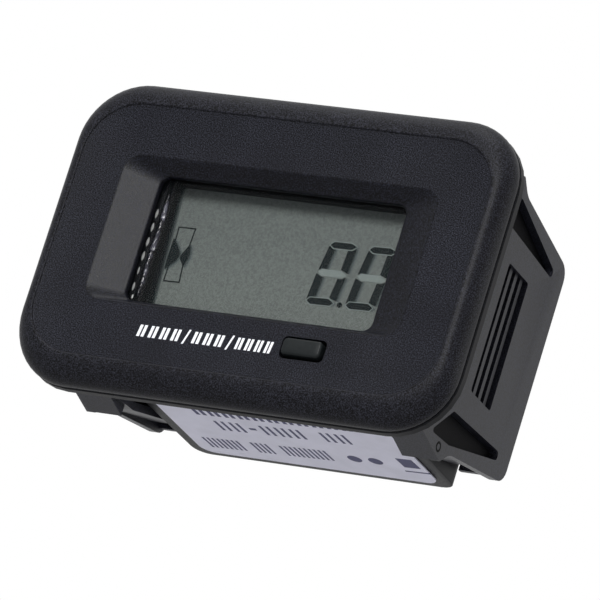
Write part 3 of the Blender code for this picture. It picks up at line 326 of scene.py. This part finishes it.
# The key's slot goes through the face, and a wider pocket behind it takes the key's flange.
for name, half_x, half_z, radius, front, steps in (
        ("slot_tool", 2.60, 1.25, 0.62, -5.0, 6), ("pocket_tool", 3.02, 1.67, 0.30, -2.4, 4)):
    cut_away(bezel, ring_surface(name, [
        (depth, round_outline(half_x, half_z, radius, KEY_Z, KEY_X, steps))
        for depth in (front, -1.0)]))
dressed(bezel, "meter", "bezel_plastic",
        black_abs("abs_satin_shoulder", "#060607", "#41424c", grain=0.13, relief=0.036,
                  roughness=0.40, level=0.08, peak=0.64),
        black_abs("abs_spark_grain_face", "#050507", "#484a56", grain=0.13, relief=0.040,
                  roughness=0.38, level=0.07, peak=0.56),
        # The window sides are painted a shade darker than the face: painted shade in the recess.
        black_abs("abs_satin_window_sides_painted_shade", "#040405", "#373946", grain=0.14, relief=0.024,
                  roughness=0.34, level=0.09, peak=0.48))
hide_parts("front_bezel")


# Face print: white ink, pad-printed on the grained face. Three groups of leaning stroke pairs
# stand in a row along its foot, with a longer stroke leaning between one group and the next.
PROUD, SUNK = 0.012, 0.02  # how far a printed film stands out, and how deep its prism ends


def leaning_bars(x, z, width, height, lean):
    """Parallelograms about (x, z): the top is pushed along X by half the height times tan(lean)."""
    x = np.atleast_1d(np.asarray(x, float))[:, None]
    push = height * np.tan(np.radians(lean)) / 2
    across = np.array([width / 2 - push, width / 2 + push, push - width / 2, -width / 2 - push])
    up = np.array([-height, height, height, -height]) / 2
    return list(np.stack([x + across, np.broadcast_to(z + up, (len(x), 4))], -1))


def flat_prisms(name, outlines, near, far, plane="XZ"):
    """Thin prism over each outline: its points at the level near, and again at the level far.

    Plane names the axes of the outlines' two columns, and the levels lie along the third axis.
    """
    corners, faces, start = [], [], 0
    for outline in outlines:
        count = len(outline)
        a, b = np.tile(outline, (2, 1)).T
        level = np.repeat([near, far], count)
        corners.append(np.column_stack(
            {"XZ": (a, level, b), "XY": (a, b, level), "YZ": (level, a, b)}[plane]))
        j = np.arange(count)
        after = (j + 1) % count
        faces += (np.column_stack([j, after, after + count, j + count]) + start).tolist()
        faces += [(j[::-1] + start).tolist(), (j + count + start).tolist()]
        start += 2 * count
    return settle(name, new_mesh(name, np.concatenate(corners), faces))


def ink(name, colour, roughness, level, cloud=0.4):
    """Printed ink or film: the eye sees one colour, a shade thinner here and there, in clouds.

    Cloud is their size in mm.
    """
    made, tree, shader, spot = new_finish(name, roughness, level)
    film = add_node(tree, "ShaderNodeTexNoise", {
        "Vector": spot, "Scale": 1 / (cloud * MM), "Detail": 2.0})
    depth = add_node(tree, "ShaderNodeMapRange", {
        "Value": film.outputs["Fac"], "From Min": 0.3, "From Max": 0.7,
        "To Min": 0.92, "To Max": 1.03})
    tint = add_node(tree, "ShaderNodeVectorMath", {
        0: linear(colour)[:3], "Scale": depth.outputs[0]}, operation="SCALE")
    tree.links.new(tint.outputs[0], shader.inputs["Base Color"])
    return made


bars = []
for start, pairs, pitch, width in (
        (-10.45, 4, 1.36, 0.34), (-3.86, 3, 1.34, 0.34), (1.22, 4, 1.15, 0.29)):
    centre = start + pitch * np.arange(pairs)
    gap = 0.78 * width
    bars += leaning_bars(np.concatenate([centre - gap, centre + gap]),
                         z=-10.95, width=width, height=1.32, lean=8)
bars += leaning_bars([-5.12, 0.08], z=-10.98, width=0.22, height=1.65, lean=18)
dressed(flat_prisms("face_print", bars, FACE - PROUD, FACE + SUNK), "meter", "white_film",
        ink("white_pad_ink", "#eeeef2", roughness=0.5, level=0.4))


# Mode key: black silicone rubber, moulded with a soft rim and a faintly domed top. The flange
# behind the bezel keeps it in its slot, and a stem reaches back to the switch on the board.
KEY_HALF_X, KEY_HALF_Z, KEY_EDGE = 2.3, 0.95, 0.32
FLANGE_FRONT, FLANGE_BACK = -2.1, -1.4


def rubber(name, colour, pale, roughness):
    """Moulded rubber: the eye sees a matt skin with a pale bloom, in clouds of 0.5 mm."""
    made, tree, shader, spot = new_finish(name, roughness, 0.16)
    shader.inputs["IOR"].default_value = 1.43
    skin = add_node(tree, "ShaderNodeTexNoise", {
        "Vector": spot, "Scale": 1 / (0.5 * MM), "Detail": 5.0, "Roughness": 0.6})
    tint = add_node(tree, "ShaderNodeMix", {
        0: skin.outputs["Fac"], 6: linear(colour), 7: linear(pale)}, data_type="RGBA")
    tree.links.new(tint.outputs[2], shader.inputs["Base Color"])
    bump = add_node(tree, "ShaderNodeBump", {
        "Height": skin.outputs["Fac"], "Strength": 0.4, "Distance": 0.008 * MM})
    tree.links.new(bump.outputs[0], shader.inputs["Normal"])
    return made


key_top, key_back = key_low[1], key_high[1]
t = np.linspace(0, np.pi / 2, 8)
top = [(key_top, 0.85), (key_top + 0.006, 0.62), (key_top + 0.02, 0.46)]
top += list(zip(key_top + 0.36 - KEY_EDGE * np.cos(t), KEY_EDGE * (1 - np.sin(t))))
rings = [(depth, round_outline(KEY_HALF_X - inset, KEY_HALF_Z - inset,
                               max(0.50 - inset / 2, 0.09), KEY_Z, KEY_X, 8))
         for depth, inset in top]
rings += [(depth, round_outline(half_x, half_z, 0.42, KEY_Z, KEY_X, 8))
          for depth, half_x, half_z in (
              (FLANGE_FRONT, KEY_HALF_X, KEY_HALF_Z), (FLANGE_FRONT, 2.70, 1.35),
              (FLANGE_BACK, 2.70, 1.35), (FLANGE_BACK, 1.00, 0.55), (key_back, 1.00, 0.55))]
key = ring_surface("mode_key", rings)
dressed(key, "button", "button_rubber",
        rubber("black_silicone_key", "#0c0f10", "#1d2122", roughness=0.42))
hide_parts("mode_button")


# Housing: flange, box and ratchet rails in one black ABS moulding. The mould's edges were broken
# to a small radius, which draws a fine light line round each face.
def broken_edges(node, name, radius, segments=2):
    """The node's solid with its flat faces merged and each edge over 30 degrees rounded."""
    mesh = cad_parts[node].data.copy()
    mesh.materials.clear()
    work = bmesh.new()
    work.from_mesh(mesh)
    bmesh.ops.remove_doubles(work, verts=work.verts, dist=1e-6)
    bmesh.ops.dissolve_limit(
        work, angle_limit=np.radians(0.5), verts=work.verts, edges=work.edges)
    work.to_mesh(mesh)
    work.free()
    made = settle(name, mesh)
    step = made.modifiers.new("mould_radius", "BEVEL")
    step.width = radius * MM
    step.segments = segments
    step.limit_method = "ANGLE"
    step.angle_limit = np.radians(30)
    step.harden_normals = True
    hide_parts(node)
    return made


dressed(broken_edges("housing", "housing_shell", radius=0.10), "meter", "housing_plastic",
        black_abs("abs_satin_housing", "#08080a", "#17181c", grain=0.20, relief=0.008,
                  roughness=0.46, level=0.10))


# Mounting clips: a pair of thin-walled ABS mouldings that slide up the rails and hold the panel
# against the flange. Their mould was polished finer than the bezel's, so they look greyer.
SIDES = (("left", -1), ("right", 1))

clip_abs = black_abs("abs_fine_satin_clip", "#0c0c11", "#2a2b34", grain=0.16, relief=0.012,
                     roughness=0.42, level=0.22)
for side, sign in SIDES:
    dressed(broken_edges(f"mounting_clip_{side}", f"clip_{side}", radius=0.12, segments=3),
            f"{side}_clip", "clip_plastic", clip_abs)


# Window skins: a thin inner wall of each clip's moulding, left as rough as it came from the mould.
# It closes the clip's tapered windows from inside and is painted near black, a painted shade, so
# that they show as dark pockets.
SHADE_SKIN_IN, SHADE_SKIN_OUT = 19.85, 20.17

skin = np.array([(8.2, 10.3), (22.3, 10.3), (22.3, 11.2), (20.7, 11.4), (9.4, 14.45),
                 (4.7, 14.65), (4.7, 14.0)])
shade_skin_black = black_abs("abs_raw_inner_skin_painted_shade", "#040405", "#101013", grain=0.30, relief=0.010,
                     roughness=0.60, level=0.04)
for side, sign in SIDES:
    dressed(flat_prisms(f"window_shade_skin_{side}", [skin, skin[::-1] * (1, -1)],
                        sign * SHADE_SKIN_IN, sign * SHADE_SKIN_OUT, "YZ"),
            f"{side}_clip", "clip_plastic", shade_skin_black)


# Pin marks: the low ring that the mould's ejector pin left on each clip's wall, near the front
# lower corner. It is the clip's own ABS, but the pin's dull end makes it look nearly black.
def pin_ring(name, x, y, z, sign):
    """Low ring on a side wall: the profile (radius, height) is carried round a circle about X."""
    profile = np.array([(0.30, -0.02), (0.34, 0.015), (0.42, 0.025), (0.55, 0.025), (0.62, -0.02)])
    radius, height = profile.T
    t = np.linspace(0, 2 * np.pi, 32, endpoint=False)
    points = np.stack([
        np.broadcast_to(x + sign * height, (len(t), len(profile))),
        y + np.outer(np.cos(t), radius), z + np.outer(np.sin(t), radius)], -1)
    faces = grid_faces(len(t), len(profile), wrap_rows=True, wrap_columns=True)
    return settle(name, new_mesh(name, points, faces))


pin_abs = black_abs("abs_pin_mark", "#020203", "#08080a", grain=0.30, relief=0.002,
                    roughness=0.55, level=0.04)
for side, sign in SIDES:
    clip_low, clip_high = box_mm(f"mounting_clip_{side}")
    wall = clip_high[0] if sign > 0 else clip_low[0]
    dressed(pin_ring(f"pin_mark_{side}", wall, 7.3, -15.2, sign),
            f"{side}_clip", "clip_plastic", pin_abs)


# Window pane: clear polycarbonate, clamped between bezel and housing. It is thin and clean, so it
# only lays a faint veil over the display.
def refinish(node, finish):
    """Gives a carried-over solid its finish; its shape and place stay as they are."""
    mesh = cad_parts[node].data
    mesh.materials.clear()
    mesh.materials.append(finish)


clear, tree, shader, spot = new_finish("clear_polycarbonate_pane", 0.06, 0.5)
shader.inputs["Base Color"].default_value = linear("#10161a")
shader.inputs["Alpha"].default_value = 0.10
shader.inputs["IOR"].default_value = 1.58
haze = add_node(tree, "ShaderNodeTexNoise", {"Vector": spot, "Scale": 1 / (4.0 * MM)})
veil = add_node(tree, "ShaderNodeMapRange", {
    "Value": haze.outputs["Fac"], "From Min": 0.3, "From Max": 0.7, "To Min": 0.04, "To Max": 0.10})
tree.links.new(veil.outputs[0], shader.inputs["Roughness"])
refinish("window_lens", clear)


# Display: a reflective liquid crystal cell of two glass plates, the front one taller for its
# contact ledges, under a grey-green polariser. The segments lie between the plates, so their
# shadows fall beside them on the reflector, and the idle ones show as faint pale bars.
def polariser(name, low, high):
    """Reflective film; its shade runs from the colour low at z -7 mm to high at z 7.4 mm.

    The eye sees a soft grey-green with a fine speckle, drawn coarser than the real film's, at
    0.2 mm, so that it shows.
    """
    made, tree, shader, spot = new_finish(name, 0.42, 0.10)
    split = add_node(tree, "ShaderNodeSeparateXYZ", {"Vector": spot})
    rise = add_node(tree, "ShaderNodeMapRange", {
        "Value": split.outputs["Z"], "From Min": -7.0 * MM, "From Max": 7.4 * MM},
        interpolation_type="SMOOTHSTEP")
    shade = add_node(tree, "ShaderNodeMix", {
        0: rise.outputs[0], 6: linear(low), 7: linear(high)}, data_type="RGBA")
    fibre = add_node(tree, "ShaderNodeTexNoise", {
        "Vector": spot, "Scale": 1 / (0.20 * MM), "Detail": 2.0})
    speck = add_node(tree, "ShaderNodeMapRange", {
        "Value": fibre.outputs["Fac"], "From Min": 0.38, "From Max": 0.62,
        "To Min": 0.84, "To Max": 1.14})
    tint = add_node(tree, "ShaderNodeVectorMath", {
        0: shade.outputs[2], "Scale": speck.outputs[0]}, operation="SCALE")
    tree.links.new(tint.outputs[0], shader.inputs["Base Color"])
    return made


cell_low, cell_high = box_mm("lcd_cell")
PLATE, HALF_X, LEDGE_Z, REAR_Z = cell_low[1], cell_high[0], cell_high[2], 7.6
LAYER = 0.007  # step between printed layers, so that none lies in another's plane

cell = ring_surface("display_cell", [
    (depth, round_outline(HALF_X, half_z, 0.12, steps=3)) for depth, half_z in (
        (PLATE, LEDGE_Z), (PLATE + 1.0, LEDGE_Z), (PLATE + 1.0, REAR_Z), (PLATE + 2.0, REAR_Z))])
# The film is painted a little darker towards the top: painted shade for the bezel's shadow.
dressed(cell, "meter", "display_glass", polariser("grey_green_polariser_shaded_top", "#6f7571", "#696f6c"))
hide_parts("lcd_cell")


def seven_bars(shift):
    """Outlines of a digit's bars, moved along X: the end caps, the idle middle and the four posts.

    Level bars are pointed hexagons, and the upright ones blocks that lean by some 6 degrees.
    """
    caps = [[(5.50, 3.02), (5.90, 3.40), (7.92, 3.44), (8.66, 3.10), (8.12, 2.72), (6.02, 2.68)],
            [(4.72, -3.48), (5.05, -3.10), (7.22, -3.02), (7.90, -3.44), (7.56, -3.78),
             (5.28, -3.84)]]
    middle = [[(5.05, -0.12), (5.36, 0.22), (7.64, 0.24), (8.46, -0.22), (7.92, -0.56),
               (5.52, -0.54)]]
    posts = [[(5.42, 2.90), (6.20, 2.58), (5.92, 0.28), (5.30, 0.32), (5.00, 0.08)],
             [(7.72, 2.64), (8.20, 2.62), (8.68, 2.92), (8.48, 0.00), (7.58, 0.36)],
             [(4.90, -0.34), (5.46, -0.66), (5.78, -0.66), (5.58, -2.98), (5.02, -3.00),
              (4.64, -3.32)],
             [(7.50, -0.66), (7.96, -0.66), (8.40, -0.44), (8.12, -3.20), (7.24, -2.92)]]
    return [[np.array(shape) + (shift, 0.0) for shape in group] for group in (caps, middle, posts)]


def grown(shape, margin):
    """Shape enlarged about its middle: each point's offset times (1 + margin / half extent)."""
    middle = (shape.max(0) + shape.min(0)) / 2
    return middle + (shape - middle) * (1 + margin / ((shape.max(0) - shape.min(0)) / 2))


def stroke(*points, width=0.13):
    """Thin bars from point to point, each as long as its line plus half a width at both ends."""
    points = np.array(points, float)
    along = np.diff(points, axis=0)
    along /= np.linalg.norm(along, axis=1)[:, None]
    across = np.column_stack([-along[:, 1], along[:, 0]]) * width / 2
    start, end = points[:-1] - along * width / 2, points[1:] + along * width / 2
    return list(np.stack([start - across, end - across, end + across, start + across], 1))


def disc(x, z, radius, count=20):
    """Points round a circle: centre plus radius times (cos t, sin t)."""
    t = np.linspace(0, 2 * np.pi, count, endpoint=False)
    return np.column_stack([x + radius * np.cos(t), z + radius * np.sin(t)])


def film_layer(name, shapes, height, slot, finish):
    """Layer of flat shapes on the display's plate, whose front stands height mm before it."""
    dressed(flat_prisms(name, shapes, PLATE - height, PLATE + SUNK), "meter", slot, finish)


caps, middles, posts = (near + far for near, far in zip(seven_bars(0.0), seven_bars(4.66)))
caps.append(disc(8.66, -3.54, 0.30))

# The hourglass sign: the two dark flanks of its waist, and thin strokes round its bulbs.
waist = [np.array([(-12.95, 1.60), (-12.60, 1.25), (-12.02, 0.54), (-11.66, -0.02),
                   (-11.64, -0.40), (-11.84, -0.95), (-12.42, -1.58), (-12.95, -2.10)]),
         np.array([(-10.79, 1.15), (-10.98, 0.66), (-11.34, 0.06), (-11.50, -0.40),
                   (-11.44, -0.72), (-11.12, -1.10), (-10.84, -1.58), (-10.66, -1.10),
                   (-10.50, -0.50), (-10.48, 0.10), (-10.62, 0.70)])]
bulbs = stroke((-12.66, 1.35), (-12.74, 2.88), (-10.72, 2.92), (-10.80, 1.10))
bulbs += stroke((-12.50, -1.65), (-12.54, -3.36), (-10.66, -3.32), (-10.84, -1.52))

film_layer("display_caps", caps + waist + bulbs, 0.050, "display_glass",
           ink("dark_crystal_cap", "#151c1c", roughness=0.4, level=0.06))
# The pale rims round the end caps are painted light: bright gaps between caps and posts, free of
# the segments' shadows.
film_layer("display_idle_bars_and_pale_cap_rims", [grown(shape, 0.10) for shape in caps[:4]] + middles, 0.043,
           "display_glass", ink("idle_bar_and_painted_cap_rim", "#838d89", roughness=0.4, level=0.1))
film_layer("display_posts", posts, 0.036, "display_glass",
           ink("dark_crystal_post", "#151c1c", roughness=0.4, level=0.06))
for step, (shift, colour) in enumerate(((0.14, "#3f4746"), (0.28, "#535b5a"), (0.44, "#666d6b"))):
    shade = [shape + (shift, -0.2 * shift) for shape in caps[:4] + posts + waist]
    film_layer(f"segment_shadow_{step}", shade, 0.029 - LAYER * step, "display_glass",
               ink(f"segment_shadow_on_film_{step}", colour, roughness=0.45, level=0.08))


# Left edge of the display: the seal's dark border with its soft shadow on the film, a wavy bead
# of clear glue laid along the seal by hand, and bright points on the pane's edge, painted glints.
BORDER_X, BORDER_Z, BORDER_LEAN = -HALF_X + 0.02, LEDGE_Z - 0.1, 0.055 * LEDGE_Z
seal_front = box_mm("display_frame")[0][1]
pane_back = box_mm("window_lens")[1][1]

for step, (edge, colour) in enumerate((
        (-13.42, "#0c0f10"), (-13.28, "#1c2222"), (-13.14, "#333938"), (-13.00, "#4c5352"))):
    border = np.array([(BORDER_X, -BORDER_Z), (edge + BORDER_LEAN, -BORDER_Z),
                       (edge - BORDER_LEAN, BORDER_Z), (BORDER_X, BORDER_Z)])
    film_layer(f"seal_border_{step}", [border], 0.080 - LAYER * step, "black_elastomer",
               ink(f"seal_shadow_on_film_{step}", colour, roughness=0.5, level=0.05))


def glue_bead(name, start, end, rows=140, columns=9):
    """Bead between two X and Y points, run along Z: a half sine across, its swell waving along."""
    v, u = np.meshgrid(np.linspace(0, 1, rows), np.linspace(0, 1, columns), indexing="ij")
    ends = np.sin(np.pi * v) ** 0.35
    swell = 0.09 + 0.03 * np.sin(23 * v) + 0.03 * np.sin(61 * v + 2)
    width = ends * (0.86 + 0.14 * np.sin(17 * v + 1))
    middle = (start[0] + end[0]) / 2 + 0.05 * np.sin(12 * v)
    x = middle + (u - 0.5) * (end[0] - start[0]) * width
    y = start[1] + u * (end[1] - start[1]) - swell * ends * np.sin(np.pi * u)
    z = -5.9 + 11.9 * v + 0.12 * u
    made = settle(name, new_mesh(name, np.stack([x, y, z], -1), grid_faces(rows, columns)), 60)
    body = made.modifiers.new("glue_body", "SOLIDIFY")
    body.thickness = 0.03 * MM
    return made


# Glue over black: bright ripples on near black, some 1.1 mm long, are painted reflections.
bead = glue_bead("glue_bead", (-14.56, -0.60), (-14.00, seal_front))
glue, tree, shader, spot = new_finish("clear_glue_over_black_painted_ripples", 0.16, 0.35)
ripple = add_node(tree, "ShaderNodeTexNoise", {
    "Vector": spot, "Scale": 1 / (1.1 * MM), "Detail": 3.0, "Distortion": 0.5})
lit = add_node(tree, "ShaderNodeMapRange", {
    "Value": ripple.outputs["Fac"], "From Min": 0.44, "From Max": 0.66})
tint = add_node(tree, "ShaderNodeMix", {
    0: lit.outputs[0], 6: linear("#15151b"), 7: linear("#62626f")}, data_type="RGBA")
tree.links.new(tint.outputs[2], shader.inputs["Base Color"])
dressed(bead, "meter", "black_elastomer", glue)


def spindle(x, z, half_width, half_length):
    """Pointed sliver: its half width shrinks as 1 - s squared while s runs from -1 to 1 along Z."""
    s = np.linspace(-1, 1, 9)
    swell = half_width * (1 - s ** 2)
    return np.concatenate([np.column_stack([x + swell, z + half_length * s])[1:],
                           np.column_stack([x - swell, z + half_length * s])[-2::-1]])


# Short near-white points behind the pane by its left edge: painted glints.
glints = [spindle(-15.02, z, 0.15, 0.55) for z in (3.55, 1.95, 0.25, -1.42)]
glints += [spindle(-15.02, -3.10, 0.10, 0.45), spindle(-15.0, -4.95, 0.13, 0.50),
          spindle(-14.75, -6.1, 0.10, 0.25)]
dressed(flat_prisms("pane_edge_painted_glints", glints, pane_back + 0.01, pane_back + 0.05),
        "meter", "lens_plastic",
        ink("painted_glint_white", "#fbfbf8", roughness=0.2, level=0.9, cloud=0.2))


# Label: a white vinyl sticker on the underside, set on a little askew. It is printed in
# blue-violet with three rows of plain strokes, two dots, a block and a bar.
SKEW_CENTRE, SKEW = np.array([-10.0, 14.0]), np.radians(-4.0)
label_face = box_mm("underside_label")[0][2]


def block(left, near, right, far):
    """Corners of a level rectangle in X and Y."""
    return np.array([(left, near), (right, near), (right, far), (left, far)])


def printed_row(y, start, signs, pitch, half_width, height, gap):
    """Row of strokes along X: two upright ones for each I, a short level one for -, else a gap."""
    made = []
    for index, sign in enumerate(signs):
        x = start + pitch * index
        if sign == "I":
            made += [block(a - half_width, y, a + half_width, y + height)
                     for a in (x - gap, x + gap)]
        if sign == "-":
            made.append(block(x - gap, y + 0.4 * height, x + gap, y + 0.6 * height))
    return made


marks = printed_row(9.0, -9.2, "IIIIIIIIIII", pitch=1.82, half_width=0.24, height=2.6, gap=0.42)
marks += printed_row(13.0, -8.0, "II-III II", pitch=1.88, half_width=0.18, height=2.5, gap=0.44)
marks += printed_row(18.4, -12.6, "IIII II IIIII", pitch=1.22, half_width=0.14, height=2.7,
                     gap=0.30)
marks += [disc(5.6, 19.8, 0.85, 24), disc(8.2, 19.8, 0.85, 24),
          block(10.9, 21.6, 14.0, 21.9), block(11.4, 18.2, 13.4, 20.6)]
turn = np.array([(np.cos(SKEW), np.sin(SKEW)), (-np.sin(SKEW), np.cos(SKEW))])
marks = [(shape - SKEW_CENTRE) @ turn + SKEW_CENTRE for shape in marks]
refinish("underside_label",
         ink("white_vinyl_film", "#d9d8e6", roughness=0.42, level=0.4, cloud=3.0))
dressed(flat_prisms("label_print", marks, label_face - PROUD, label_face + SUNK, "XY"),
        "meter", "white_film",
        ink("violet_label_ink", "#39395f", roughness=0.5, level=0.2, cloud=0.5))


# Behind and inside: grommet, seals, holder, board, its parts, the cell and its contacts keep the
# solids' shapes, and each gets the finish of what it is made of.
def small_part(name, colour, pale, roughness, cloud, metallic=0.0):
    """Finish of a small part: the eye sees two near shades in clouds, over a faint relief.

    Cloud is their size in mm, and the relief is 0.004 mm high.
    """
    made, tree, shader, spot = new_finish(name, roughness, metallic=metallic)
    clouds = add_node(tree, "ShaderNodeTexNoise", {
        "Vector": spot, "Scale": 1 / (cloud * MM), "Detail": 4.0})
    tint = add_node(tree, "ShaderNodeMix", {
        0: clouds.outputs["Fac"], 6: linear(colour), 7: linear(pale)}, data_type="RGBA")
    tree.links.new(tint.outputs[2], shader.inputs["Base Color"])
    bump = add_node(tree, "ShaderNodeBump", {
        "Height": clouds.outputs["Fac"], "Strength": 0.4, "Distance": 0.004 * MM})
    tree.links.new(bump.outputs[0], shader.inputs["Normal"])
    return made


# Dull near-black rubber, bright cool plating, warm strip with a soft shine, dull dark resin, and
# milky plastic with a soft sheen.
seal_rubber = rubber("black_seal_rubber", "#050606", "#0c0d0e", roughness=0.7)
nickel = small_part("nickel_plated_steel", "#b4b4b0", "#d0d0cc", 0.24, cloud=0.8, metallic=1.0)
strip = small_part("nickel_silver_strip", "#b9b29c", "#d8d2c0", 0.28, cloud=0.6, metallic=1.0)
resin = small_part("black_moulding_resin", "#131314", "#202022", 0.55, cloud=0.25)
polystyrene = small_part("white_polystyrene", "#cfcfca", "#e2e2de", 0.45, cloud=2.0)

# Greyed black grommet, clean white film, deep green gloss, blue-black sleeve and tan lacquer.
inside = {
    "wire_bushing": rubber("black_grommet_rubber", "#101113", "#1f2022", roughness=0.52),
    "display_frame": seal_rubber, "zebra_strip_upper": seal_rubber,
    "zebra_strip_lower": seal_rubber, "display_holder": polystyrene,
    "switch_plunger": polystyrene,
    "reflector_sheet": small_part("white_reflector_film", "#dadad6", "#efefec", 0.4, cloud=1.0),
    "circuit_board": small_part("green_solder_mask", "#15492e", "#236a45", 0.35, cloud=1.5),
    "board_screw_1": nickel, "board_screw_2": nickel, "board_screw_3": nickel,
    "clock_crystal": nickel, "coin_cell": nickel,
    "battery_contact_negative": strip, "battery_contact_positive": strip,
    "microcontroller": resin, "voltage_regulator": resin, "protection_diode": resin,
    "tact_switch": resin,
    "supply_capacitor": small_part("blue_black_sleeve", "#10152c", "#1f274a", 0.3, cloud=1.2),
    "input_resistor": small_part("tan_resistor_lacquer", "#a88b64", "#c2a57f", 0.4, cloud=0.5),
}
for node, finish in inside.items():
    refinish(node, finish)
